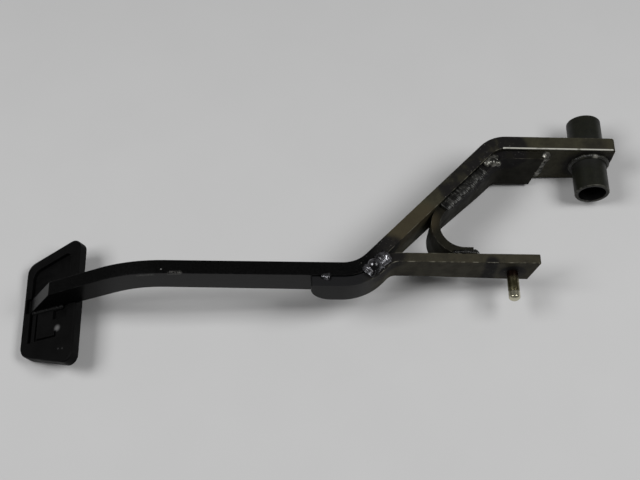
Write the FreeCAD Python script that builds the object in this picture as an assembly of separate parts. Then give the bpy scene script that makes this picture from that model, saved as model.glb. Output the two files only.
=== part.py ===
import FreeCAD, Part
import math
import os
from FreeCAD import Vector as V

os.makedirs("parts", exist_ok=True)

# Foot brake pedal lever, welded from flat steel bars.  Millimetres.
# The pivot axis is the Y axis, the pad is out at -X, and the stroke swings the pad up (+Z).
# Everything is drawn with the flat part of the lever level; at the end it is tipped by a few
# degrees about the pivot, so that it lies on the pad's heel and on the round end of the arm.

# ---- main arm: flat bar, bent twice the easy way in plan, curved down at the pad end
ARM_T = 10.0            # bar thickness
BOSS_R = 20.0           # half height of the bar at the pivot
BOSS_END_X = 15.5       # its end
BOSS_LOW_R = 25.0       # lower corner of that end, which the lever lies on
BOSS_TOP_R = 3.0        # upper corner
BEND_X = -72.7          # where the centre lines of the first bend meet
BEND_DEG = 46.0         # both bends
ARM_STEP = 103.0        # sideways step between the pivot end and the pad end
BEND1_R = 21.0          # centre line radius of the first bend
BEND2_R = 28.0          # and of the second
NECK_X, NECK_H = -115.0, 29.5     # bar height where the first taper ends
WAIST_X, WAIST_H = -205.0, 22.4   # and after the second bend
CURVE_X, CURVE_H = -303.0, 21.0   # and where the arm starts to curve down
CURVE_R = 84.0          # top edge of that curve
DROP_DEG = 32.5         # slope of the pad end
TIP_X, TIP_Z = -384.5, -16.3      # top corner of the cut end
TIP_CUT_DEG = 62.0      # the cut end, from level
SEAT_DEG = 31.0         # slope of the bottom edge that sits on the pad plate, and of the pad

# ---- pivot tube, its bushes and the spacer sleeve that the lever turns on
TUBE_OD = 25.0
TUBE_WALL = 2.5
TUBE_LEN = 60.0
BUSH_GAP = 6.0          # between the two bushes, in the middle of the tube
BUSH_DEEP = 11.0        # each bush sits this far inside the tube's end
SLEEVE_OD = 15.0
SLEEVE_ID = 10.2        # takes a 10 mm bolt
SLEEVE_DEEP = 9.5       # sleeve ends inside the tube's ends, where the bracket's bosses reach in
RUN_GAP = 0.05          # running clearance of the sleeve in the bushes, on radius

# ---- brace strap: strip on the near face, hooked round to the pushrod arm
BRACE_T = 6.0
BRACE_TOP = 16.0        # its top edge, below the bar's top edge
BRACE_END_X = -36.5     # its end by the tube, at the top edge
BRACE_END_SKEW = 4.5    # the end is sheared this much out of square
BRACE_TIP_X = -93.0     # where the hook ends on the pushrod arm
HOOK_R = 19.5           # centre line radius of the hook
HOOK_DEPTH = 13.0       # the hook's lower edge, below the pivot

# ---- pushrod arm: bar lapped on the near face at the second bend
ROD_T = 7.0
ROD_Y = 92.6            # its centre plane, sideways from the pivot end
ROD_TOP = 18.3          # top edge
ROD_H_LEFT = 22.2       # height at the bend
ROD_H_RIGHT = 25.0      # height at the pin
ROD_END_X = -47.2       # free end, top corner
ROD_END_SKEW = 5.0      # bottom corner cut back
ROD_BEND_R = 12.0
LUG_X = -205.0          # far end of the lapped part
LUG_R = 15.0            # round lower corner of the lap

# ---- pushrod pin
PIN_D = 8.0
SPIGOT_D = 6.5          # the pin's shouldered end, through its arm and upset behind
PIN_X, PIN_Z = -64.9, 3.9
PIN_LEN = 21.0          # beyond the near face of its arm
PIN_TIP = 1.6           # rounded over this far at the free end
GROOVE_AT = 14.6        # retaining clip groove, from the near face
GROOVE_W = 1.1
GROOVE_D = 6.4
PIN_HEAD = 1.0          # upset end on the far face
PIN_HEAD_D = 11.0

# ---- pad: steel plate inside a moulded rubber cover
PAD_LEN = 46.0          # up the slope
PAD_W_LOW = 70.0        # width at the heel
PAD_W_TOP = 98.0        # width at the top
PAD_SHIFT = 2.6         # pad centre, sideways from the arm's centre
PAD_HEEL = 2.8          # the heel edge, past the arm's cut end
PAD_CORNER_R = 9.0      # at the heel
PAD_TOP_R = 6.5         # at the top
PLATE_T = 2.5
RUBBER_WALL = 2.2       # round the plate's edge
LIP_T = 3.0             # rear lip over the plate
LIP_W_FAR = 5.5         # how far the lip reaches in over the plate, at the far side
LIP_W_TOP = 5.0         # at the top
LIP_W_LOW = 4.0         # at the heel
NEAR_OPEN = 8.0         # opening in the lip beside the arm, on the pushrod side
CORNER_U, CORNER_OPEN = 24.0, 15.0    # it is deeper than that from here to the top
CHANNEL_W, CHANNEL_END = 3.2, 29.0    # channel along the heel, and how far it runs sideways
TONGUE_U0, TONGUE_U1 = 9.2, 28.0      # tongue of the lip with a groove round three sides
TONGUE_GROOVE = 1.5
TONGUE_DEEP = 1.9       # depth of that groove
RUBBER_T = 2.5          # tread in front of the plate
RIB_H = 2.0
RIB_COUNT = 5
ARM_SLOT_GAP = 0.6      # slot in the lip that the arm passes through

# ---- welds
TUBE_BEAD = 3.0         # leg of the beads round the tube
BRACE_BEAD = 4.0
FOOT_BEAD = 5.0
FILL_R, FILL_H = 10.5, 4.0         # fill over the strap in the first bend
PAD_BEAD = 4.0
JOINT_R, JOINT_H = 8.0, 6.0       # the plug of weld on top of the lap
TACK_R, TACK_H = 4.0, 3.0         # the tack at the lap's end


# ------------------------------------------------------------------ drawing helpers
def rounded(points, radii, to3d):
    """Face inside a closed outline whose corners are rounded to the given radii."""
    n = len(points)
    stops = []
    for i in range(n):
        ax, ay = points[i - 1]
        bx, by = points[i]
        cx, cy = points[(i + 1) % n]
        ux, uy = bx - ax, by - ay
        vx, vy = cx - bx, cy - by
        lu, lv = math.hypot(ux, uy), math.hypot(vx, vy)
        ux, uy, vx, vy = ux / lu, uy / lu, vx / lv, vy / lv
        turn = math.atan2(ux * vy - uy * vx, ux * vx + uy * vy)
        r = radii[i]
        if r <= 0 or abs(turn) < 1e-6:
            stops.append((points[i], None, points[i]))
            continue
        t = r * math.tan(abs(turn) / 2)
        wx, wy = vx - ux, vy - uy
        lw = math.hypot(wx, wy)
        depth = r / math.cos(turn / 2) - r
        mid = (bx + wx / lw * depth, by + wy / lw * depth)
        stops.append(((bx - ux * t, by - uy * t), mid, (bx + vx * t, by + vy * t)))
    edges = []
    for i in range(n):
        p, mid, q = stops[i]
        if mid is not None:
            edges.append(Part.Arc(to3d(*p), to3d(*mid), to3d(*q)).toShape())
        nxt = stops[(i + 1) % n][0]
        if math.hypot(nxt[0] - q[0], nxt[1] - q[1]) > 1e-6:
            edges.append(Part.LineSegment(to3d(*q), to3d(*nxt)).toShape())
    return Part.Face(Part.Wire(edges))


def plan(x, y):
    return V(x, y, 0)


def side(x, z):
    return V(x, 0, z)


def offset_path(points, d):
    """Corner points of a path moved sideways by d (positive to the left of travel)."""
    out = []
    n = len(points)
    normals = []
    for (ax, ay), (bx, by) in zip(points, points[1:]):
        length = math.hypot(bx - ax, by - ay)
        normals.append((-(by - ay) / length, (bx - ax) / length))
    for i, (x, y) in enumerate(points):
        if i == 0 or i == n - 1:
            nx, ny = normals[0 if i == 0 else -1]
            out.append((x + nx * d, y + ny * d))
        else:
            (n1x, n1y), (n2x, n2y) = normals[i - 1], normals[i]
            k = d / (1 + n1x * n2x + n1y * n2y)
            out.append((x + (n1x + n2x) * k, y + (n1y + n2y) * k))
    return out


def turn_sign(a, b, c):
    cross = (b[0] - a[0]) * (c[1] - b[1]) - (b[1] - a[1]) * (c[0] - b[0])
    return 1 if cross > 0 else -1


def bent_bar(path, radii, thick, z_low, z_high, shift=0.0):
    """Flat bar standing on edge, bent along a plan path; radii are at the bar's centre line."""
    sides = []
    for d in (shift + thick / 2, shift - thick / 2):
        pts = offset_path(path, d)
        rr = [0.0]
        for i in range(1, len(path) - 1):
            rr.append(radii[i - 1] - (d - shift) * turn_sign(path[i - 1], path[i], path[i + 1]))
        rr.append(0.0)
        sides.append((pts, rr))
    pts = sides[0][0] + sides[1][0][::-1]
    rr = sides[0][1] + sides[1][1][::-1]
    face = rounded(pts, rr, lambda x, y: V(x, y, z_low))
    return face.extrude(V(0, 0, z_high - z_low))


def across(face, y0, y1):
    """Extrude a side-view face over the band between two sideways positions."""
    face = face.copy()
    face.translate(V(0, y0, 0))
    return face.extrude(V(0, y1 - y0, 0))


def ring_bead(radius, leg, y, sign):
    """Fillet weld round a bar that stands out of a face along Y."""
    corners = [V(radius, y, 0), V(radius, y + sign * leg, 0), V(radius + leg, y, 0)]
    return Part.Face(Part.makePolygon(corners + corners[:1])).revolve(V(0, 0, 0), V(0, 1, 0), 360)


def straight_bead(corner, along, up, out, leg, leg_out=None):
    """Crowned fillet weld in a corner: along gives its run, up and out the two faces."""
    crown = 0.58
    leg_out = leg_out or leg
    a = corner
    b = corner + up * leg
    c = corner + out * leg_out
    m = corner + up * (leg * crown) + out * (leg_out * crown)
    wire = Part.Wire([Part.LineSegment(a, b).toShape(), Part.Arc(b, m, c).toShape(),
                      Part.LineSegment(c, a).toShape()])
    return Part.Face(wire).extrude(along)


def dome(centre, axis, radius, height, steps):
    """Low round lump of weld on a flat base, with that many bevels up its side."""
    corners = [V(0, 0, 0)]
    for i in range(steps + 1):
        a = math.radians(90.0 * i / steps)
        corners.append(V(radius * math.cos(a), 0, height * math.sin(a)))
    lump = Part.Face(Part.makePolygon(corners + corners[:1])).revolve(V(0, 0, 0), V(0, 0, 1), 360)
    lump.Placement = FreeCAD.Placement(centre, FreeCAD.Rotation(V(0, 0, 1), axis))
    return lump


# ------------------------------------------------------------------ centre lines in plan
# Sideways toward the pushrod side is -Y.
bend = math.radians(BEND_DEG)
run = ARM_STEP / math.tan(bend)
arm_path = [(BOSS_END_X + 5, 0), (BEND_X, 0), (BEND_X - run, -ARM_STEP), (TIP_X - 60, -ARM_STEP)]
# travel is toward -X, so the pushrod side is on the left of travel
NEAR = 1.0

# ------------------------------------------------------------------ main arm
drop = math.radians(DROP_DEG)
seat = math.radians(SEAT_DEG)
cut = math.radians(TIP_CUT_DEG)
top_z = BOSS_R
# the bottom edge of the pad end leaves the curve and meets the cut end
curve_low_z = top_z - CURVE_H
top_corner_x = TIP_X + (top_z - TIP_Z) / math.tan(drop)
# bottom corner of the curve lies CURVE_H below the top edge, measured square to the seat
low_corner_x = top_corner_x + CURVE_H * math.tan(drop / 2)
cut_dx, cut_dz = -math.cos(cut), -math.sin(cut)
seat_dx, seat_dz = -math.cos(seat), -math.sin(seat)
# meet of the seat line from the low corner with the cut line from the tip
det = cut_dx * seat_dz - cut_dz * seat_dx
ex, ez = low_corner_x - TIP_X, curve_low_z - TIP_Z
k = (ex * seat_dz - ez * seat_dx) / det
HEEL_X, HEEL_Z = TIP_X + cut_dx * k, TIP_Z + cut_dz * k

side_points = [
    (BOSS_END_X, top_z), (top_corner_x, top_z), (TIP_X, TIP_Z), (HEEL_X, HEEL_Z),
    (low_corner_x, curve_low_z), (WAIST_X, top_z - WAIST_H), (NECK_X, top_z - NECK_H),
    (BEND_X - 5, -BOSS_R), (BOSS_END_X, -BOSS_R)]
side_radii = [BOSS_TOP_R, CURVE_R, 1.0, 0.8, CURVE_R - CURVE_H, 300.0, 120.0, 30.0, BOSS_LOW_R]
profile = rounded(side_points, side_radii, side)
arm_span = ARM_STEP + 40
arm_blank = bent_bar(arm_path, [BEND1_R, BEND2_R], ARM_T, -150, top_z + 1)
main_arm = arm_blank.common(across(profile, -arm_span, 40))
bore = Part.makeCylinder(TUBE_OD / 2, TUBE_LEN, V(0, -TUBE_LEN / 2, 0), V(0, 1, 0))
main_arm = main_arm.cut(bore)

# ------------------------------------------------------------------ pivot
tube_id = TUBE_OD - 2 * TUBE_WALL
tube = bore.cut(Part.makeCylinder(tube_id / 2, TUBE_LEN, V(0, -TUBE_LEN / 2, 0), V(0, 1, 0)))
tube_chamfer = []
for edge in tube.Edges:
    if abs(edge.Length - math.pi * TUBE_OD) < 0.1:
        tube_chamfer.append(edge)
tube = tube.makeChamfer(0.5, tube_chamfer)
bush_len = TUBE_LEN / 2 - BUSH_DEEP - BUSH_GAP / 2
bushes = {}
for name, s in (("near", -1), ("far", 1)):
    start = s * (TUBE_LEN / 2 - BUSH_DEEP)
    shell = Part.makeCylinder(tube_id / 2, bush_len, V(0, start, 0), V(0, -s, 0))
    hole = Part.makeCylinder(SLEEVE_OD / 2 + RUN_GAP, bush_len, V(0, start, 0), V(0, -s, 0))
    bushes[name] = shell.cut(hole)
sleeve_len = TUBE_LEN - 2 * SLEEVE_DEEP
sleeve = Part.makeCylinder(SLEEVE_OD / 2, sleeve_len, V(0, -sleeve_len / 2, 0), V(0, 1, 0))
sleeve = sleeve.makeChamfer(0.6, [e for e in sleeve.Edges if len(e.Vertexes) == 1])
sleeve = sleeve.cut(Part.makeCylinder(SLEEVE_ID / 2, sleeve_len, V(0, -sleeve_len / 2, 0), V(0, 1, 0)))
bead_tube_near = ring_bead(TUBE_OD / 2, TUBE_BEAD, -ARM_T / 2, -1)
bead_tube_far = ring_bead(TUBE_OD / 2, TUBE_BEAD, ARM_T / 2, 1)

# ------------------------------------------------------------------ brace strap
off = ARM_T / 2 + BRACE_T / 2
lap = offset_path(arm_path, off * NEAR)
hook_y = -(ROD_Y - ROD_T / 2 - BRACE_T / 2)
frac = (hook_y - lap[1][1]) / (lap[2][1] - lap[1][1])
hook_corner = (lap[1][0] + frac * (lap[2][0] - lap[1][0]), hook_y)
brace_path = [(BRACE_END_X + 10, lap[0][1]), lap[1], hook_corner, (BRACE_TIP_X, hook_y)]
brace = bent_bar(brace_path, [BEND1_R - off, HOOK_R], BRACE_T, -BOSS_R - 1, BRACE_TOP)
brace_side = rounded(
    [(BRACE_END_X, BRACE_TOP), (-160, BRACE_TOP), (-160, -HOOK_DEPTH), (-126, -HOOK_DEPTH),
     (NECK_X + 3, top_z - NECK_H - 1.0), (BEND_X - 5, -BOSS_R),
     (BRACE_END_X - BRACE_END_SKEW, -BOSS_R)],
    [0, 0, 0, 8, 30.0, 30.0, 0], side)
brace = brace.common(across(brace_side, -arm_span, 40))

# ------------------------------------------------------------------ pushrod arm
rod_off = ARM_T / 2 + ROD_T / 2
rod_lap = offset_path(arm_path, rod_off * NEAR)
frac = (-ROD_Y - rod_lap[1][1]) / (rod_lap[2][1] - rod_lap[1][1])
rod_corner = (rod_lap[1][0] + frac * (rod_lap[2][0] - rod_lap[1][0]), -ROD_Y)
rod_path = [(ROD_END_X, -ROD_Y), rod_corner, rod_lap[2], (LUG_X, rod_lap[3][1])]
rod = bent_bar(rod_path, [ROD_BEND_R, BEND2_R + rod_off], ROD_T, -30, ROD_TOP)
rod_side = rounded(
    [(ROD_END_X, ROD_TOP), (LUG_X, ROD_TOP), (LUG_X, ROD_TOP - ROD_H_LEFT),
     (rod_corner[0] + 20, ROD_TOP - ROD_H_LEFT), (PIN_X, ROD_TOP - ROD_H_RIGHT),
     (ROD_END_X - ROD_END_SKEW, ROD_TOP - ROD_H_RIGHT)],
    [1.0, 1.5, LUG_R, 150.0, 60.0, 0.8], side)
rod = rod.common(across(rod_side, -arm_span, 40))
pin_near_y = -(ROD_Y + ROD_T / 2)
pin_far_y = -(ROD_Y - ROD_T / 2)
pin_axis = V(0, -1, 0)
rod = rod.cut(Part.makeCylinder(SPIGOT_D / 2, 3 * ROD_T, V(PIN_X, pin_far_y + ROD_T, PIN_Z), pin_axis))

# ------------------------------------------------------------------ pushrod pin
total = ROD_T + PIN_LEN
r = PIN_D / 2
g0, g1 = ROD_T + GROOVE_AT - GROOVE_W / 2, ROD_T + GROOVE_AT + GROOVE_W / 2
tip = PIN_TIP
outline = [(0, 0), (SPIGOT_D / 2, 0), (SPIGOT_D / 2, ROD_T), (r, ROD_T),
           (r, g0), (GROOVE_D / 2, g0), (GROOVE_D / 2, g1), (r, g1),
           (r, total - tip), (r - tip * 0.4, total - tip * 0.4), (r - tip, total), (0, total)]
pin_face = rounded(outline, [0] * len(outline), plan)
pin = pin_face.revolve(V(0, 0, 0), V(0, 1, 0), 360)
pin.rotate(V(0, 0, 0), V(0, 0, 1), 180)
pin.translate(V(PIN_X, pin_far_y, PIN_Z))
pin_button = dome(V(PIN_X, pin_far_y, PIN_Z), V(0, 1, 0), PIN_HEAD_D / 2, PIN_HEAD, 2)

# ------------------------------------------------------------------ pad, drawn flat and then put on the seat
# Flat frame: u up the slope from the arm's heel corner, y sideways, w out of the plate's rear face.
def pad_face(margin_u0, margin_u1, margin_w, less, w):
    """Trapezoid of the pad, brought in by margins at the heel, the top and the two sides,
    with its corner radii cut by less."""
    slope = (PAD_W_TOP - PAD_W_LOW) / 2 / PAD_LEN
    side_in = margin_w * math.hypot(1, slope)
    u0, u1 = margin_u0 - PAD_HEEL, PAD_LEN - PAD_HEEL - margin_u1
    half0 = PAD_W_LOW / 2 + slope * margin_u0 - side_in
    half1 = PAD_W_TOP / 2 - slope * margin_u1 - side_in
    yc = -PAD_SHIFT
    pts = [(u0, yc - half0), (u1, yc - half1), (u1, yc + half1), (u0, yc + half0)]
    low_r, top_r = max(PAD_CORNER_R - less, 1.0), max(PAD_TOP_R - less, 1.0)
    return rounded(pts, [low_r, top_r, top_r, low_r], lambda u, y: V(u, y, w))


def on_seat(shape):
    """From the flat pad frame to the arm's bottom edge."""
    shape = shape.copy()
    shape.rotate(V(0, 0, 0), V(0, 1, 0), -SEAT_DEG)
    shape.translate(V(HEEL_X, -ARM_STEP, HEEL_Z))
    return shape


def lip_box(u0, u1, a0, a1, w0=0.0):
    """Tool that opens the lip on the pushrod side: a is measured sideways from the arm's centre."""
    return Part.makeBox(u1 - u0, a1 - a0, 30, V(u0, -a1, w0))


plate_in = RUBBER_WALL
plate = pad_face(plate_in, plate_in, plate_in, plate_in, -PLATE_T).extrude(V(0, 0, PLATE_T))
body = pad_face(0, 0, 0, 0, -PLATE_T - RUBBER_T).extrude(V(0, 0, RUBBER_T + PLATE_T + LIP_T))
window = pad_face(plate_in + LIP_W_LOW, plate_in + LIP_W_TOP, plate_in + LIP_W_FAR, plate_in, 0)
window = window.extrude(V(0, 0, LIP_T + 1))
open_u0 = plate_in + LIP_W_LOW - PAD_HEEL
open_u1 = PAD_LEN - PAD_HEEL - plate_in - LIP_W_TOP
far_side = Part.makeBox(4 * PAD_LEN, PAD_W_TOP, 30, V(-2 * PAD_LEN, 0, -1))
rubber = body.cut(plate).cut(window.common(far_side))
# the opening on the pushrod side leaves a wide lip with a tongue in it
rubber = rubber.cut(lip_box(open_u0, open_u1, 0, NEAR_OPEN))
rubber = rubber.cut(lip_box(CORNER_U, open_u1, 0, CORNER_OPEN))
rubber = rubber.cut(lip_box(open_u0, open_u0 + CHANNEL_W, 0, CHANNEL_END))
groove_w = LIP_T - TONGUE_DEEP
rubber = rubber.cut(lip_box(TONGUE_U0, TONGUE_U0 + TONGUE_GROOVE, NEAR_OPEN - 1, CHANNEL_END, groove_w))
rubber = rubber.cut(lip_box(TONGUE_U0, TONGUE_U1, CHANNEL_END - TONGUE_GROOVE, CHANNEL_END, groove_w))
rubber = rubber.cut(lip_box(TONGUE_U1 - TONGUE_GROOVE, TONGUE_U1, CHANNEL_END - 5, CHANNEL_END, groove_w))
rear_edges = [e for e in rubber.Edges
              if abs(e.BoundBox.ZMin - LIP_T) < 1e-4 and e.BoundBox.ZLength < 1e-4
              and pad_face(0.1, 0.1, 0.1, 0.1, LIP_T).distToShape(e)[0] > 0.05]
rubber = rubber.makeChamfer(0.8, rear_edges)
# tread ribs run across the pad
pitch = (PAD_LEN - 14) / (RIB_COUNT - 1)
for i in range(RIB_COUNT):
    u = -PAD_HEEL + 7 + i * pitch
    half = PAD_W_LOW / 2 + (PAD_W_TOP - PAD_W_LOW) / 2 / PAD_LEN * (u + PAD_HEEL) - 7
    rib = Part.makeBox(pitch * 0.55, 2 * half, RIB_H + 0.5,
                       V(u - pitch * 0.275, -PAD_SHIFT - half, -PLATE_T - RUBBER_T - RIB_H))
    rib = rib.makeChamfer(0.8, [e for e in rib.Edges if e.BoundBox.ZMax < -PLATE_T - RUBBER_T - RIB_H + 0.01])
    rubber = rubber.fuse(rib)
slot = Part.makeBox(80, ARM_T + 2 * ARM_SLOT_GAP, 30, V(-ARM_SLOT_GAP, -ARM_T / 2 - ARM_SLOT_GAP, 0))
rubber = rubber.cut(slot).removeSplitter()
plate, rubber = on_seat(plate), on_seat(rubber)

# beads along both sides of the arm's seat on the plate
seat_len = open_u1 - open_u0 - 3
pad_beads = {}
for name, s in (("near", -1), ("far", 1)):
    bead = straight_bead(V(open_u0 + 1, s * ARM_T / 2, 0), V(seat_len, 0, 0), V(0, 0, 1), V(0, s, 0), PAD_BEAD)
    pad_beads[name] = on_seat(bead).cut(rubber)

# ------------------------------------------------------------------ other welds
# Seam on the ledge above the strap: it runs down the diagonal between the two bars.
ledge = offset_path(arm_path, (ARM_T / 2) * NEAR)
diag = V(ledge[2][0] - ledge[1][0], ledge[2][1] - ledge[1][1], 0)
diag.normalize()
square = V(diag.y, -diag.x, 0)
if square.y > 0:
    square = square * -1
SEAM_START, SEAM_END = 16.0, 62.0
corner = V(ledge[1][0], ledge[1][1], BRACE_TOP) + diag * SEAM_START
seam = straight_bead(corner, diag * (SEAM_END - SEAM_START), V(0, 0, 1), square, BRACE_BEAD, BRACE_T)
# Lump of fill over the strap in the first bend.
bend_fill = bent_bar([(BEND_X + 30, lap[0][1]), lap[1], (lap[1][0] + diag.x * 30, lap[1][1] + diag.y * 30)],
                     [BEND1_R - off], BRACE_T, BRACE_TOP, BRACE_TOP + 2 * FILL_H)
bend_at = V(lap[1][0], lap[1][1], BRACE_TOP)
bend_fill = bend_fill.common(dome(bend_at, V(0, 0, 1), FILL_R, FILL_H, 3)).cut(seam)
# Bead down the sheared end of the strap, on the face of the bar.
skew = BRACE_END_SKEW / (BRACE_TOP + BOSS_R)
end_dir = V(-skew, 0, -1)
end_bead = straight_bead(V(BRACE_END_X, -ARM_T / 2, BRACE_TOP), end_dir * 24, V(0, -1, 0), V(1, 0, 0), BRACE_BEAD)
# Bead at the hook's foot on the far face of the pushrod arm.
foot_bead = straight_bead(V(BRACE_TIP_X, pin_far_y, -4), V(0, 0, BRACE_TOP - 1 + 4), V(0, 1, 0), V(1, 0, 0), FOOT_BEAD)
# Plug of weld on top of the lap, over the line where the two bars meet.
mid = offset_path(arm_path, (ARM_T / 2) * NEAR)[2]
joint_at = V(mid[0], mid[1], ROD_TOP) - diag * 12.0
joint = dome(joint_at, V(0, 0, 1), JOINT_R, JOINT_H, 3).cut(main_arm)
# Tack at the end of the lap.
tack_at = V(LUG_X + 9, -(ARM_STEP + ARM_T / 2), ROD_TOP)
tack = dome(tack_at, V(0, 0, 1), TACK_R, TACK_H, 2).cut(main_arm)

# ------------------------------------------------------------------ lie down and write
# It rests on the pad's heel corner and on the low round corner of the bar's end.
heel = on_seat(Part.Vertex(-PAD_HEEL, 0, -PLATE_T - RUBBER_T)).Point
round_x, round_z = BOSS_END_X - BOSS_LOW_R, BOSS_LOW_R - BOSS_R
reach = math.hypot(heel.x - round_x, heel.z - round_z)
REST_DEG = math.degrees(math.atan2(round_z - heel.z, round_x - heel.x) - math.asin(BOSS_LOW_R / reach))

nodes = {
    "main_arm": main_arm,
    "pivot_tube": tube,
    "pivot_bush_near": bushes["near"],
    "pivot_bush_far": bushes["far"],
    "pivot_sleeve": sleeve,
    "brace_strap": brace,
    "pushrod_arm": rod,
    "pushrod_pin": pin,
    "pad_plate": plate,
    "pad_rubber": rubber,
    "weld_tube_near": bead_tube_near,
    "weld_tube_far": bead_tube_far,
    "weld_brace_seam": seam,
    "weld_brace_bend": bend_fill,
    "weld_brace_end": end_bead,
    "weld_brace_foot": foot_bead,
    "weld_lap_plug": joint,
    "weld_lap_tack": tack,
    "weld_pin_far": pin_button,
    "weld_pad_near": pad_beads["near"],
    "weld_pad_far": pad_beads["far"],
}
for name, shape in nodes.items():
    shape = shape.copy()
    shape.rotate(V(0, 0, 0), V(0, 1, 0), REST_DEG)
    shape.exportStep("parts/%s.step" % name)
    box = shape.BoundBox
    print("%-18s solids %d valid %s vol %9.1f  x %7.1f %7.1f  y %7.1f %7.1f  z %6.1f %6.1f" % (
        name, len(shape.Solids), shape.isValid(), shape.Volume,
        box.XMin, box.XMax, box.YMin, box.YMax, box.ZMin, box.ZMax))
print("rest angle %.3f" % REST_DEG, "heel corner %.2f %.2f" % (HEEL_X, HEEL_Z))
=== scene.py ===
import math
import random

import bmesh
import bpy
from mathutils import Matrix, Vector


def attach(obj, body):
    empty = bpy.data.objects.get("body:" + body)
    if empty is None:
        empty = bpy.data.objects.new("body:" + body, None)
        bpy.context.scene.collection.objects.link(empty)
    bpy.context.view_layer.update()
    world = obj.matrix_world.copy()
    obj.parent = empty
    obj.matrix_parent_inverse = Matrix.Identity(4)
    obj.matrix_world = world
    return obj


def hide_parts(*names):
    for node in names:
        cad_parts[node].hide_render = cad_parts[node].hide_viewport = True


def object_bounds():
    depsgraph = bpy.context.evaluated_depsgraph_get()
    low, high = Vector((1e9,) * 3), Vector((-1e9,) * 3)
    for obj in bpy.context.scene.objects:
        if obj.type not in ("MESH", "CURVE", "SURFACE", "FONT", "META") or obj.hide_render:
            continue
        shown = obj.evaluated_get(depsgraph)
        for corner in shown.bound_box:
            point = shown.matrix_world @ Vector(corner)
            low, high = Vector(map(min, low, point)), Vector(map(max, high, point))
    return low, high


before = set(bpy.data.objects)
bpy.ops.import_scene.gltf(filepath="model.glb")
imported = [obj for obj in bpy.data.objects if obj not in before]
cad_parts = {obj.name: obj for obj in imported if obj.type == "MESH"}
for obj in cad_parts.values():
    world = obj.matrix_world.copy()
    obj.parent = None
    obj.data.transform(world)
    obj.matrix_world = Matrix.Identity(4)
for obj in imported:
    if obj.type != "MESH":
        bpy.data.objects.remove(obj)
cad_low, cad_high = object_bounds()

# ---------------------------------------------------------------- main arm
# The lever's backbone: hot-rolled flat bar, 10 mm thick, bent twice in plan and curved down to the
# pad. It is dipped in black paint from the pad up to the second bend; toward the pivot it only
# carries a thin olive coat, burnt grey where it was welded.
MM = 0.001
LEAN = math.radians(5.119)     # how far the lever lies tipped about its pivot
ARM_EASE = 0.45 * MM           # rolled corner of the bar
ARM_PAINT_FROM = -0.160        # the black paint begins about here and runs out to the pad
HIGHLIT_CORNER = ((-66, -5, 20), (13, -5, 20))    # top corner by the pivot, drawn as a pale line: painted highlight


def at(x, y, z):
    """Point of the level lever, in millimetres, where it is with the lever lying down, in metres."""
    return Vector((x * math.cos(LEAN) + z * math.sin(LEAN), y,
                   z * math.cos(LEAN) - x * math.sin(LEAN))) * MM


def tilt(x, y, z):
    """Direction of the level lever, with the lever lying down."""
    return (at(x, y, z) / MM).normalized()


def eased(node, width, steps=2, corner=28):
    """The node's own shape with its sharp edges rounded. The rounded faces carry edge = 1."""
    bm = bmesh.new()
    bm.from_mesh(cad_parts[node].data)
    bmesh.ops.remove_doubles(bm, verts=bm.verts, dist=0.002 * MM)
    bmesh.ops.dissolve_limit(bm, angle_limit=math.radians(0.4), verts=bm.verts, edges=bm.edges)
    mark = bm.faces.layers.float.new("edge")
    sharp = [e for e in bm.edges if e.is_manifold and e.calc_face_angle(0) > math.radians(corner)]
    made = bmesh.ops.bevel(bm, geom=sharp, offset=width, offset_type="OFFSET", affect="EDGES",
                           segments=steps, profile=0.5, material=-1, clamp_overlap=True)
    for face in made["faces"]:
        face[mark] = 1.0
    for face in bm.faces:
        face.smooth = True
    mesh = bpy.data.meshes.new(node + "_shape")
    bm.to_mesh(mesh)
    bm.free()
    piece = bpy.data.objects.new(node + "_finished", mesh)
    bpy.context.collection.objects.link(piece)
    even = piece.modifiers.new("even", "WEIGHTED_NORMAL")
    even.keep_sharp = True
    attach(piece, "lever")
    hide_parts(node)
    return piece


def colour(text):
    """An sRGB hex colour as the linear values that a shader takes."""
    parts = [int(text[i:i + 2], 16) / 255 for i in (1, 3, 5)]
    return [c / 12.92 if c <= 0.04045 else ((c + 0.055) / 1.055) ** 2.4 for c in parts] + [1.0]


def add(tree, kind, attrs=None, values=None, links=None):
    """Adds one shader node with its settings, socket values and links."""
    node = tree.nodes.new("ShaderNode" + kind)
    for key, value in (attrs or {}).items():
        setattr(node, key, value)
    for key, value in (values or {}).items():
        node.inputs[key].default_value = value
    for key, source in (links or {}).items():
        tree.links.new(source, node.inputs[key])
    return node


def start(name):
    """A material with its tree, its shader and the piece's own coordinates in metres."""
    material = bpy.data.materials.new(name)
    material.use_nodes = True
    tree = material.node_tree
    place = add(tree, "TexCoord").outputs["Object"]
    return material, tree, tree.nodes["Principled BSDF"], place


def grain(tree, place, size_mm, detail=3.0, rough=0.55):
    """Cloudy pattern whose features are about that many millimetres across."""
    return add(tree, "TexNoise", {}, {"Scale": 1000 / size_mm, "Detail": detail, "Roughness": rough},
               {"Vector": place}).outputs["Fac"]


def ramp(tree, value, low, high, out_low=0.0, out_high=1.0):
    """Smooth step of a value from one level to another."""
    return add(tree, "MapRange", {"interpolation_type": "SMOOTHSTEP"},
               {"From Min": low, "From Max": high, "To Min": out_low, "To Max": out_high},
               {"Value": value}).outputs["Result"]


def times(tree, a, b):
    """Product of two values; b may be a plain number."""
    if isinstance(b, (int, float)):
        return add(tree, "Math", {"operation": "MULTIPLY"}, {1: b}, {0: a}).outputs[0]
    return add(tree, "Math", {"operation": "MULTIPLY"}, {}, {0: a, 1: b}).outputs[0]


def plus(tree, a, b):
    """Sum of two values, at most 1."""
    return add(tree, "Math", {"operation": "ADD", "use_clamp": True}, {}, {0: a, 1: b}).outputs[0]


def blend(tree, amount, under, over):
    """Colour over another by an amount; each colour is hex text or a socket."""
    values, links = {}, {0: amount}
    for index, item in ((6, under), (7, over)):
        if isinstance(item, str):
            values[index] = colour(item)
        else:
            links[index] = item
    return add(tree, "Mix", {"data_type": "RGBA"}, values, links).outputs[2]


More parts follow.
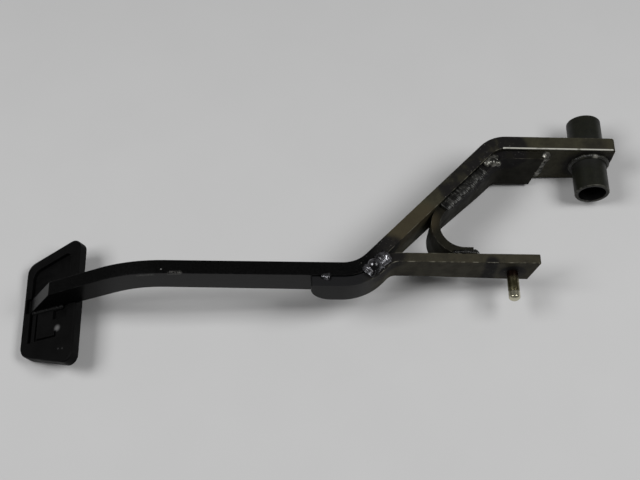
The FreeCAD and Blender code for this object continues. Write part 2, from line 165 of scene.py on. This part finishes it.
def near_point(tree, place, centre, inner, outer):
    """1 within inner millimetres of a point, falling to 0 at outer."""
    rel = add(tree, "VectorMath", {"operation": "SUBTRACT"}, {1: centre}, {0: place}).outputs["Vector"]
    far = add(tree, "VectorMath", {"operation": "LENGTH"}, {}, {0: rel}).outputs["Value"]
    return ramp(tree, far, inner * MM, outer * MM, 1.0, 0.0)


def near_line(tree, place, a, b, inner, outer):
    """1 within inner millimetres of the line from a to b, falling to 0 at outer."""
    along = b - a
    rel = add(tree, "VectorMath", {"operation": "SUBTRACT"}, {1: a}, {0: place}).outputs["Vector"]
    dot = add(tree, "VectorMath", {"operation": "DOT_PRODUCT"}, {1: along / along.length_squared},
              {0: rel}).outputs["Value"]
    share = add(tree, "Clamp", {}, {}, {"Value": dot}).outputs["Result"]
    foot = add(tree, "VectorMath", {"operation": "SCALE"}, {0: along}, {"Scale": share})
    far = add(tree, "VectorMath", {"operation": "DISTANCE"}, {},
              {0: rel, 1: foot.outputs["Vector"]}).outputs["Value"]
    return ramp(tree, far, inner * MM, outer * MM, 1.0, 0.0)


def surface(tree, shader, tone, rough, specular=0.5, metallic=0.0):
    """Colour and gloss on the shader; rough may be a plain number."""
    tree.links.new(tone, shader.inputs["Base Color"])
    if isinstance(rough, float):
        shader.inputs["Roughness"].default_value = rough
    else:
        tree.links.new(rough, shader.inputs["Roughness"])
    shader.inputs["Specular IOR Level"].default_value = specular
    shader.inputs["Metallic"].default_value = metallic


def relief(tree, shader, height, strength, depth_mm):
    """Bump of a real depth from a pattern."""
    bump = add(tree, "Bump", {}, {"Strength": strength, "Distance": depth_mm * MM}, {"Height": height})
    tree.links.new(bump.outputs["Normal"], shader.inputs["Normal"])


# Heat marks of the welding, in millimetres on the level lever: where, then the radius that is fully
# burnt and the radius where the mark ends.
HEAT_SPOTS = (
    ((0, 0, 0), 16.5, 24.0),                      # round the pivot tube
    ((-64.9, -96.1, 3.9), 8.0, 10.8),             # round the pushrod pin
)
HEAT_LINES = (
    ((-66, -6, 18), (-98, -36, 18), 15.5, 19.5),    # along the strap's seam
    ((-81, -96, 20), (-81, -96, -12), 3.0, 6.5),    # a band across the pushrod arm by the hook
    ((-152, -89, 18), (-162, -99, 18), 9.5, 15.0),  # at the plug on the lap
)
TANNED = ((-127, -62, 20), (-141, -77, 20), 7.0, 15.0)   # straw-coloured steel between the marks
CHIP = ((-305.5, -105, 19.3), 0.3, 0.9)                  # a paint chip on the arm's top
SCRAPES = (                                              # scraped paint along the arm's corner
    ((-321, -107.6, 15.7), (-311, -107.6, 17.3), 0.6, 1.8),
    ((-300, -107.6, 19), (-293, -107.6, 19.6), 0.6, 2.2),
)
SPATTER_MM = 1.7                                         # from one drop of spatter to the next


def steel_bar(name, coat, gloss, wear=0.55, paint_from=None, bare=None, sheen_above=None):
    """Mild steel bar. coat is the thin coat's main, darker, speckled and worn colours; paint_from is
    the x beyond which it is black; the next argument is a corner drawn as a pale line, a painted
    highlight; the last is the height above which the black paint is lighter grey, a painted sheen."""
    material, tree, shader, place = start(name)
    clouds = grain(tree, place, 9.0, 5.0, 0.62)
    fine = grain(tree, place, 0.9, 4.0, 0.6)
    thin = blend(tree, ramp(tree, clouds, 0.38, 0.68), coat[0], coat[1])
    thin = blend(tree, times(tree, ramp(tree, fine, 0.52, 0.72), 0.45), thin, coat[2])

    heat = None
    for a, b, inner, outer in HEAT_LINES:
        mark = near_line(tree, place, at(*a), at(*b), inner, outer)
        heat = mark if heat is None else plus(tree, heat, mark)
    for centre, inner, outer in HEAT_SPOTS:
        heat = plus(tree, heat, near_point(tree, place, at(*centre), inner, outer))
    heat = times(tree, heat, ramp(tree, clouds, 0.30, 0.52, 0.55, 1.0))
    tanned = near_line(tree, place, at(*TANNED[0]), at(*TANNED[1]), *TANNED[2:])
    thin = blend(tree, times(tree, tanned, 0.6), thin, "#40392a")
    thin = blend(tree, times(tree, heat, 0.92), thin, "#151415")

    # fine silver spatter that the welding threw on the heated steel
    dots = add(tree, "TexVoronoi", {}, {"Scale": 1000 / SPATTER_MM}, {"Vector": place})
    spatter = times(tree, ramp(tree, dots.outputs["Distance"], 0.10, 0.22, 1.0, 0.0), heat)
    spatter = times(tree, spatter, ramp(tree, fine, 0.54, 0.66))

    # the rounded corners are rubbed lighter in patches
    edge = add(tree, "Attribute", {"attribute_name": "edge"}).outputs["Fac"]
    worn = times(tree, edge, ramp(tree, grain(tree, place, 4.0, 4.0), 0.42, 0.66))
    tone = blend(tree, times(tree, worn, wear), thin, coat[3])
    rough = ramp(tree, clouds, 0.3, 0.7, 0.50, 0.66)

    if paint_from is not None:
        along = add(tree, "SeparateXYZ", {}, {}, {0: place}).outputs["X"]
        cover = ramp(tree, along, paint_from + 10 * MM, paint_from - 6 * MM)
        scrape = plus(tree, *(near_line(tree, place, at(*a), at(*b), inner, outer)
                              for a, b, inner, outer in SCRAPES))
        scrape = times(tree, times(tree, scrape, ramp(tree, fine, 0.42, 0.62)), 0.6)
        paint = blend(tree, ramp(tree, fine, 0.35, 0.75), "#060606", "#0d0d0d")
        paint = blend(tree, times(tree, worn, 0.25), paint, "#343433")
        paint = blend(tree, scrape, paint, "#6c6b68")
        paint = blend(tree, near_point(tree, place, at(*CHIP[0]), *CHIP[1:]), paint, "#d8d8d4")
        # the upper face's black paint lightened grey: painted sheen
        if sheen_above is not None:
            height = add(tree, "VectorMath", {"operation": "DOT_PRODUCT"}, {1: tilt(0, 0, 1)},
                         {0: place}).outputs["Value"]
            painted_sheen = ramp(tree, height, sheen_above - 0.4 * MM, sheen_above)
            paint = blend(tree, times(tree, painted_sheen, 0.8), paint, "#232324")
        tone = blend(tree, cover, tone, paint)
        sheen = ramp(tree, fine, 0.3, 0.8, 0.27, 0.38)
        rough = add(tree, "Mix", {"data_type": "FLOAT"}, {}, {0: cover, 2: rough, 3: sheen}).outputs[0]

    tone = blend(tree, spatter, tone, "#8d8c86")
    # a pale line along the given corner: painted highlight where the corner catches the light
    if bare is not None:
        line = near_line(tree, place, at(*bare[0]), at(*bare[1]), 0.4, 1.1)
        line = times(tree, line, ramp(tree, clouds, 0.36, 0.52, 0.25, 1.0))
        tone = blend(tree, line, tone, "#c2c1b8")
    surface(tree, shader, tone, rough, gloss)
    relief(tree, shader, plus(tree, times(tree, clouds, 0.7), times(tree, fine, 0.3)), 0.22, 0.25)
    return material


arm = eased("main_arm", ARM_EASE)
# painted bar: satin black paint beyond the lap, a thin olive coat and heat marks before it
arm.data.materials.append(steel_bar("painted_mild_steel_bar", ("#38362a", "#2d2b22", "#464437", "#7d7a6c"),
                                    gloss=0.09, paint_from=ARM_PAINT_FROM, bare=HIGHLIT_CORNER))

# ---------------------------------------------------------------- pivot tube
# A 25 mm steel tube pushed through the bar's bored end and welded round on both faces. Its skin is
# dark, oiled drawn steel with faint rings from the saw and the drawing die, and its bore is black.
TUBE_EASE = 0.25 * MM
BORE_SKIN = (10.2 * MM, 10.8 * MM)     # radius up to which the tube's inside is near black, and where that ends


def rings(tree, place, squeeze, size_mm, detail):
    """Pattern drawn out into rings about the pivot axis, squeeze times finer along it."""
    drawn = add(tree, "Mapping", {}, {"Scale": (1, squeeze, 1)}, {"Vector": place}).outputs["Vector"]
    return grain(tree, drawn, size_mm, detail)


tube = eased("pivot_tube", TUBE_EASE)
# drawn steel, oiled, darkened by heat near the bar and rubbed lighter on the rims
material, tree, shader, place = start("oiled_drawn_steel_tube")
clouds = grain(tree, place, 7.0, 4.0)
fine = grain(tree, place, 0.8, 3.0)
tone = blend(tree, ramp(tree, clouds, 0.35, 0.70), "#1c1d17", "#12130e")
tone = blend(tree, times(tree, ramp(tree, fine, 0.50, 0.75), 0.5), tone, "#303128")
across = add(tree, "SeparateXYZ", {}, {}, {0: place}).outputs["Y"]
off_bar = add(tree, "Math", {"operation": "ABSOLUTE"}, {}, {0: across}).outputs[0]
hot = ramp(tree, off_bar, 8 * MM, 16 * MM, 1.0, 0.0)
tone = blend(tree, times(tree, hot, 0.7), tone, "#1d1d1c")
flat = add(tree, "VectorMath", {"operation": "MULTIPLY"}, {1: (1, 0, 1)}, {0: place}).outputs["Vector"]
radius = add(tree, "VectorMath", {"operation": "LENGTH"}, {}, {0: flat}).outputs["Value"]
tone = blend(tree, ramp(tree, radius, *BORE_SKIN, 1.0, 0.0), tone, "#0b0b0b")
rim = times(tree, add(tree, "Attribute", {"attribute_name": "edge"}).outputs["Fac"],
            ramp(tree, grain(tree, place, 3.0), 0.38, 0.6))
tone = blend(tree, times(tree, rim, 0.35), tone, "#77756b")
surface(tree, shader, tone, ramp(tree, clouds, 0.3, 0.7, 0.36, 0.50), 0.2)
relief(tree, shader, rings(tree, place, 9, 2.4, 2.0), 0.15, 0.15)
tube.data.materials.append(material)

# ---------------------------------------------------------------- bushes
# Two moulded black nylon bushes, pressed 11 mm deep into the tube from its ends, that run on the
# spacer sleeve. Matte, with a faint moulded grain.


def dress(node, material):
    """Gives a CAD node that keeps its shape its finished material."""
    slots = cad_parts[node].data.materials
    slots.clear()
    slots.append(material)


# nylon: near black, matte
material, tree, shader, place = start("black_nylon")
fine = grain(tree, place, 0.6)
surface(tree, shader, blend(tree, fine, "#0d0d0d", "#171717"), ramp(tree, fine, 0.3, 0.7, 0.5, 0.65))
dress("pivot_bush_near", material)
dress("pivot_bush_far", material)

# ---------------------------------------------------------------- spacer sleeve
# Turned steel sleeve that the pivot bolt clamps; the lever turns on it. Dull grey with fine turning
# rings round it, and a film of old grease.

# turned steel: grey metal, dulled by the grease
material, tree, shader, place = start("turned_steel_with_grease")
turned = rings(tree, place, 12, 2.0, 2.0)
surface(tree, shader, blend(tree, ramp(tree, turned, 0.35, 0.7), "#4a4843", "#6f6c64"),
        ramp(tree, turned, 0.3, 0.7, 0.38, 0.52), metallic=1.0)
dress("pivot_sleeve", material)

# ---------------------------------------------------------------- brace strap
# Steel strip, 6 mm thick, bent along the near face of the bar and hooked round to the pushrod arm.
# Sheared from strip, so its corners are only slightly rounded; dull olive coat, grey from heat.
STRAP_EASE = 0.4 * MM
strap = eased("brace_strap", STRAP_EASE)
# coated strip: darker and duller than the bar, its corners rubbed pale
strap.data.materials.append(steel_bar("coated_steel_strip", ("#1e1d17", "#171611", "#2a281f", "#8a877a"),
                                      gloss=0.05, wear=0.9))

# ---------------------------------------------------------------- pushrod arm
# A 7 mm bar lapped on the near face at the second bend and reaching out to carry the pin. Same dull
# olive coat; the lapped end was painted black together with the pad arm.
ROD_EASE = 0.45 * MM
ROD_PAINT_FROM = -0.163
LAP_TOP = 17.6 * MM                    # height of the lap's upper face, above which the paint is lighter grey as painted sheen
rod = eased("pushrod_arm", ROD_EASE)
# coated bar: as the main arm's coat, with its upper face lighter grey where it is painted, a painted sheen
rod.data.materials.append(steel_bar("coated_steel_bar", ("#38352b", "#2d2b24", "#474438", "#8d8a7c"),
                                    gloss=0.07, paint_from=ROD_PAINT_FROM, sheen_above=LAP_TOP))

# ---------------------------------------------------------------- pushrod pin
# Turned 8 mm pin, shouldered on the arm and upset behind, with a clip groove and a rounded tip.
# Yellow zinc plate, lightened toward white at the tip as a painted highlight, and darkened where it meets the
# hot arm.
PIN_EASE = 0.2 * MM
TIP_FROM, TIP_FULL = -0.1105, -0.1125      # along y: beyond the groove the plate is lightened toward white, a painted highlight
ROOT_FROM, ROOT_FULL = -0.1045, -0.0985    # along y: reddish brown toward the arm
pin = eased("pushrod_pin", PIN_EASE, 2, 25)
# zinc plate: yellow-olive metal, glossy, with fine turning rings
material, tree, shader, place = start("yellow_zinc_plated_steel")
clouds = grain(tree, place, 3.0, 4.0)
tone = blend(tree, ramp(tree, clouds, 0.3, 0.7), "#5f5a41", "#79745a")
along = add(tree, "SeparateXYZ", {}, {}, {0: place}).outputs["Y"]
# painted highlight: the tip lightened toward white
tone = blend(tree, ramp(tree, along, TIP_FROM, TIP_FULL), tone, "#c9c5ae")
tone = blend(tree, ramp(tree, along, ROOT_FROM, ROOT_FULL), tone, "#2e2019")
surface(tree, shader, tone, ramp(tree, clouds, 0.3, 0.7, 0.18, 0.30), metallic=0.9)
relief(tree, shader, rings(tree, place, 10, 1.6, 3.0), 0.12, 0.1)
pin.data.materials.append(material)

# ---------------------------------------------------------------- welds
# Arc-welded beads: overlapping half-moon ripples that froze one after the other, with small lumps of
# spatter beside them. The strap's are bare grey with silver crests, the tube's are oiled dark, and
# the two on the lap lie under gloss black paint that has partly burnt off.
random.seed(11)
RIPPLE = 1.5 * MM              # from one ripple to the next
RIPPLE_LONG = 1.25 * MM        # half the length of one ripple
RIPPLE_LEAN = math.radians(-24)
SKIN = 0.32 * MM               # mesh size of the fused bead


def walk(points, step):
    """Places every step along a line of points, with the direction of travel at each."""
    out = []
    left = 0.0
    for a, b in zip(points, points[1:]):
        run = (b - a).length
        t = left
        while t < run:
            out.append((a + (b - a) * (t / run), (b - a).normalized()))
            t += step
        left = t - run
    return out


def weld(node, points, half_mm, tall_mm, up, look, lumps=(), wobble=0.18):
    """A bead along points, half its width and its height given, on faces whose open side is up (a
    direction, or a function that gives it at a place). lumps are extra drops: place and radius."""
    half, tall = half_mm * MM, tall_mm * MM
    bm = bmesh.new()
    for spot, along in walk(points, RIPPLE):
        face_up = up(spot) if callable(up) else up
        side = along.cross(face_up).normalized()
        turn = Matrix((side, along, side.cross(along))).transposed().to_4x4()
        lean = Matrix.Rotation(RIPPLE_LEAN, 4, "X")
        size = 1 + random.uniform(-wobble, wobble)
        shift = side * random.uniform(-0.12, 0.12) * half
        scale = Matrix.Diagonal((half * size, RIPPLE_LONG, tall * size, 1))
        bmesh.ops.create_icosphere(bm, subdivisions=3, radius=1.0,
                                   matrix=Matrix.Translation(spot + shift) @ turn @ lean @ scale)
    for spot, size in lumps:
        bmesh.ops.create_icosphere(bm, subdivisions=3, radius=size * MM, matrix=Matrix.Translation(spot))
    mesh = bpy.data.meshes.new(node + "_lumps")
    bm.to_mesh(mesh)
    bm.free()
    raw = bpy.data.objects.new(node + "_lumps", mesh)
    bpy.context.collection.objects.link(raw)
    fuse = raw.modifiers.new("fuse", "REMESH")
    fuse.mode = "VOXEL"
    fuse.voxel_size = SKIN
    fuse.use_smooth_shade = True
    calm = raw.modifiers.new("calm", "SMOOTH")
    calm.factor, calm.iterations = 0.5, 2
    bpy.context.view_layer.update()
    fused = raw.evaluated_get(bpy.context.evaluated_depsgraph_get())
    finished = bpy.data.meshes.new_from_object(fused)
    bpy.data.objects.remove(raw)
    piece = bpy.data.objects.new(node + "_bead", finished)
    bpy.context.collection.objects.link(piece)
    piece.data.materials.clear()
    piece.data.materials.append(look)
    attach(piece, "lever")
    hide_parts(node)
    return piece


def scatter(a, b, spread_mm, count, small, large):
    """Drops of spatter near the line from a to b, with radii in millimetres."""
    drops = []
    for _ in range(count):
        t = random.random()
        off = Vector((random.gauss(0, spread_mm), random.gauss(0, spread_mm),
                      random.gauss(0, spread_mm * 0.3))) * MM
        drops.append((a + (b - a) * t + off, random.uniform(small, large)))
    return drops


# bare weld: dark grey scale with silver on the crests of the ripples
bare_weld, tree, shader, place = start("bare_arc_weld")
clouds = grain(tree, place, 3.0, 4.0)
fine = grain(tree, place, 0.7, 3.0)
crest = times(tree, ramp(tree, fine, 0.62, 0.72), ramp(tree, clouds, 0.44, 0.60))
tone = blend(tree, ramp(tree, clouds, 0.35, 0.65), "#1b1b1a", "#30302d")
surface(tree, shader, blend(tree, times(tree, crest, 0.8), tone, "#b4b3ad"),
        ramp(tree, clouds, 0.3, 0.7, 0.26, 0.46), metallic=0.55)
relief(tree, shader, fine, 0.35, 0.2)

# bright weld: clean metal, light grey with dark pores
bright_weld, tree, shader, place = start("bright_weld_metal")
clouds = grain(tree, place, 4.0, 3.0)
fine = grain(tree, place, 1.0, 2.0)
tone = blend(tree, ramp(tree, clouds, 0.40, 0.60), "#42423e", "#7c7b74")
surface(tree, shader, blend(tree, times(tree, ramp(tree, fine, 0.58, 0.68), 0.8), tone, "#2b2a28"),
        ramp(tree, clouds, 0.3, 0.7, 0.20, 0.36), metallic=0.75)
relief(tree, shader, fine, 0.15, 0.2)

# oiled weld: dark olive grey like the tube, with one light spot on the near bead, a painted highlight
BEAD_GLINT = (1.5, -7.0, 13.6)
oiled_weld, tree, shader, place = start("oiled_dark_weld")
clouds = grain(tree, place, 4.0, 3.0)
tone = blend(tree, ramp(tree, clouds, 0.35, 0.65), "#161614", "#26261f")
tone = blend(tree, near_point(tree, place, at(*BEAD_GLINT), 0.6, 2.8), tone, "#74736c")
surface(tree, shader, tone, ramp(tree, clouds, 0.3, 0.7, 0.34, 0.50), 0.35)
relief(tree, shader, clouds, 0.12, 0.15)

# gloss paint on weld: black where it holds, silver grey where it burnt off
gloss_weld, tree, shader, place = start("arc_weld_under_gloss_black_paint")
clouds = grain(tree, place, 6.0, 3.0)
fine = grain(tree, place, 1.2, 3.0)
tone = blend(tree, fine, "#232323", "#303031")
surface(tree, shader, blend(tree, ramp(tree, clouds, 0.40, 0.64), tone, "#7a7a7e"), 0.20, metallic=0.8)
relief(tree, shader, fine, 0.07, 0.15)

# round the tube on both faces of the bar
BEAD_ROUND, BEAD_OFF, BEAD_STEPS = 13.4, 6.1, 48
for node, s in (("weld_tube_near", -1), ("weld_tube_far", 1)):
    turns = (2 * math.pi * i / BEAD_STEPS for i in range(BEAD_STEPS + 1))
    ring = [at(BEAD_ROUND * math.cos(a), s * BEAD_OFF, BEAD_ROUND * math.sin(a)) for a in turns]

    def outward(spot, s=s):
        return (Vector((spot.x, 0, spot.z)).normalized() + Vector((0, s, 0))).normalized()

    weld(node, ring, 1.9, 1.5, outward, oiled_weld, (), 0.06)

# along the strap on the diagonal, in its bend, down its end and at the hook's foot
top = tilt(0, 0, 1)
seam_a, seam_b = at(-82.0, -22.4, 17.3), at(-111.4, -53.0, 17.3)
weld("weld_brace_seam", [seam_a, seam_b], 4.2, 1.6, top, bare_weld,
     scatter(seam_a, seam_b, 2.4, 16, 0.5, 1.1))
fill = [at(-80.0, -16.6, 17.2), at(-75.0, -11.6, 17.5), at(-70.5, -12.6, 17.0)]
weld("weld_brace_bend", fill, 3.2, 1.9, top, bright_weld,
     [(at(-74.6, -14.8, 16.4), 3.4), (at(-70.6, -15.4, 16.4), 2.4)], 0.04)
end_a, end_b = at(-34.8, -7.4, 14.8), at(-37.4, -7.4, -9.0)
weld("weld_brace_end", [end_a, end_b], 3.9, 3.0, tilt(1, -1, 0), bright_weld,
     scatter(end_a, end_b, 1.5, 8, 0.6, 1.1))
foot = [at(-91.6, -87.2, -3), at(-91.6, -87.2, 15.6), at(-97, -87.6, 16.8), at(-106, -87.8, 16.8)]
weld("weld_brace_foot", foot, 2.6, 2.0, tilt(0.7, 1, 0.4), bare_weld)

# the plug and the tack that hold the lap
plug = [at(-153, -91.5, 18.2), at(-158, -96, 19.2), at(-163, -101, 19.4), at(-168, -106, 18.6)]
weld("weld_lap_plug", plug, 5.4, 3.6, top, gloss_weld,
     [(at(-162.5, -100, 19.6), 5.2), (at(-155, -93, 18.6), 4.0)], 0.03)
tack = [at(-193, -108.4, 18.6), at(-198.5, -108.4, 18.6)]
weld("weld_lap_tack", tack, 2.6, 2.0, top, gloss_weld)

# the button over the pin's back end
BUTTON = (-64.9, -89.0, 3.9)
BUTTON_R, BUTTON_STEPS = 3.4, 16
turns = (2 * math.pi * i / BUTTON_STEPS for i in range(BUTTON_STEPS + 1))
button = [at(BUTTON[0] + BUTTON_R * math.cos(a), BUTTON[1], BUTTON[2] + BUTTON_R * math.sin(a))
          for a in turns]
weld("weld_pin_far", button, 2.2, 1.4, Vector((0, 1, 0)), bare_weld,
     [(at(BUTTON[0], BUTTON[1] - 0.2, BUTTON[2]), 2.4)])

# ---------------------------------------------------------------- pad plate
# Steel plate, 2.5 mm, welded under the arm's end; the rubber cover is stretched over its edge.
# Satin black paint, thin and dusty where it shows in the openings of the cover.

# paint on plate: near black, hardly glossy
material, tree, shader, place = start("satin_black_paint_on_plate")
clouds = grain(tree, place, 5.0, 4.0)
surface(tree, shader, blend(tree, clouds, "#020202", "#060606"), ramp(tree, clouds, 0.3, 0.7, 0.45, 0.6), 0.1)
dress("pad_plate", material)

# ---------------------------------------------------------------- pad welds
# A bead down each side of the arm's seat on the plate, painted black with it and left dull.
SEAT = math.radians(31.0)                # the pad's slope from the level lever
HEEL = (-402.17, -103.0, -49.53)         # the arm's lowest corner on the pad, on its middle plane


def on_pad(u, y, w):
    """Point by the pad: u up its slope from the arm's heel, y sideways from the arm, w out of its back."""
    return at(HEEL[0] + u * math.cos(SEAT) - w * math.sin(SEAT), HEEL[1] + y,
              HEEL[2] + u * math.sin(SEAT) + w * math.cos(SEAT))


# dull paint on weld: near black, hardly glossy
dull_weld, tree, shader, place = start("arc_weld_under_dull_black_paint")
fine = grain(tree, place, 1.2, 3.0)
surface(tree, shader, blend(tree, fine, "#060606", "#0d0d0d"), 0.5, 0.12)
relief(tree, shader, fine, 0.2, 0.15)

for node, s in (("weld_pad_near", -1), ("weld_pad_far", 1)):
    weld(node, [on_pad(5, s * 6.0, 0.8), on_pad(32, s * 6.0, 0.8)], 2.0, 1.6,
         (on_pad(0, s, 1) - on_pad(0, 0, 0)).normalized(), dull_weld)

# ---------------------------------------------------------------- pad cover
# Moulded rubber cover, hooked over the plate: ribbed tread in front, a rolled lip behind with an open
# recess on one side of the arm and a tongue on the other. Matte black with a soft bloom and dust.
COVER_EASE = 0.45 * MM
LIP = 3.0                                # thickness of the lip, on which the marks lie
GLINT_SPOT = (29, -22.5, LIP)                  # a light round spot on the lip, a painted highlight
PIPS = ((31.5, -38.5, LIP), (35.0, -39.0, LIP))   # two vent pips
cover = eased("pad_rubber", COVER_EASE, 3, 24)
# rubber: near black and matte, dusted a little lighter in fine specks
material, tree, shader, place = start("moulded_black_rubber")
clouds = grain(tree, place, 12.0, 4.0)
fine = grain(tree, place, 0.8, 3.0)
tone = blend(tree, ramp(tree, clouds, 0.35, 0.7), "#040404", "#070707")
tone = blend(tree, times(tree, ramp(tree, fine, 0.55, 0.75), 0.4), tone, "#0e0e0e")
# painted highlight: a light round spot on the lip
glint = near_point(tree, place, on_pad(*GLINT_SPOT), 0.4, 3.4)
tone = blend(tree, times(tree, glint, 0.8), tone, "#6e6e6e")
for pip in PIPS:
    tone = blend(tree, near_point(tree, place, on_pad(*pip), 0.2, 0.9), tone, "#3a3a3a")
surface(tree, shader, tone, ramp(tree, clouds, 0.3, 0.7, 0.48, 0.62), 0.08)
relief(tree, shader, fine, 0.18, 0.15)
cover.data.materials.append(material)

# ---------------------------------------------------------------- table, light and camera
# A plain pale table top, two soft boxes high on the left and right, and a dim even room.
TABLE_SIZE = 6.0
BELOW = 0.2 * MM               # gap under the lowest corner, so that nothing lies in the table
LIGHTS_AIM = Vector((-0.2, -0.05, 0))
BOX_SIZE = 0.6
ROOM_LIGHT = 0.07
CAMERA_AT = Vector((-178.85, -483.23, 796.22)) * MM
CAMERA_TURN = (27.883, 1.777, -0.858)
CAMERA_LENS = 71.0

# laminate: pale neutral grey, matte
material, tree, shader, place = start("pale_table_top")
surface(tree, shader, blend(tree, grain(tree, place, 60.0, 2.0), "#cbcbcb", "#cfcfcf"), 0.75)
bpy.ops.mesh.primitive_plane_add(size=TABLE_SIZE, location=(-0.2, 0, cad_low.z - BELOW))
floor = bpy.context.object
floor.name = "table_top"
floor.data.materials.append(material)


def soft_box(name, place, power):
    """A square area light of that many watts, aimed at the lever's middle."""
    lamp = bpy.data.lights.new(name, "AREA")
    lamp.shape = "RECTANGLE"
    lamp.size = lamp.size_y = BOX_SIZE
    lamp.energy = power
    box = bpy.data.objects.new(name, lamp)
    bpy.context.collection.objects.link(box)
    box.location = place
    box.rotation_mode = "QUATERNION"
    box.rotation_quaternion = (LIGHTS_AIM - Vector(place)).to_track_quat("-Z", "Y")


soft_box("left_box", (-0.95, -0.22, 1.12), 9.1)
soft_box("right_box", (0.60, -0.22, 1.12), 10.0)
world = bpy.data.worlds.new("room")
bpy.context.scene.world = world
world.use_nodes = True
room = world.node_tree.nodes["Background"]
room.inputs["Color"].default_value = (1, 1, 1, 1)
room.inputs["Strength"].default_value = ROOM_LIGHT
bpy.context.scene.view_settings.view_transform = "Standard"

cam_data = bpy.data.cameras.new("camera")
cam_data.lens = CAMERA_LENS
cam_data.sensor_width = 36.0
cam_data.clip_start, cam_data.clip_end = 0.05, 20
cam = bpy.data.objects.new("camera", cam_data)
bpy.context.collection.objects.link(cam)
cam.location = CAMERA_AT
cam.rotation_euler = [math.radians(a) for a in CAMERA_TURN]
bpy.context.scene.camera = cam
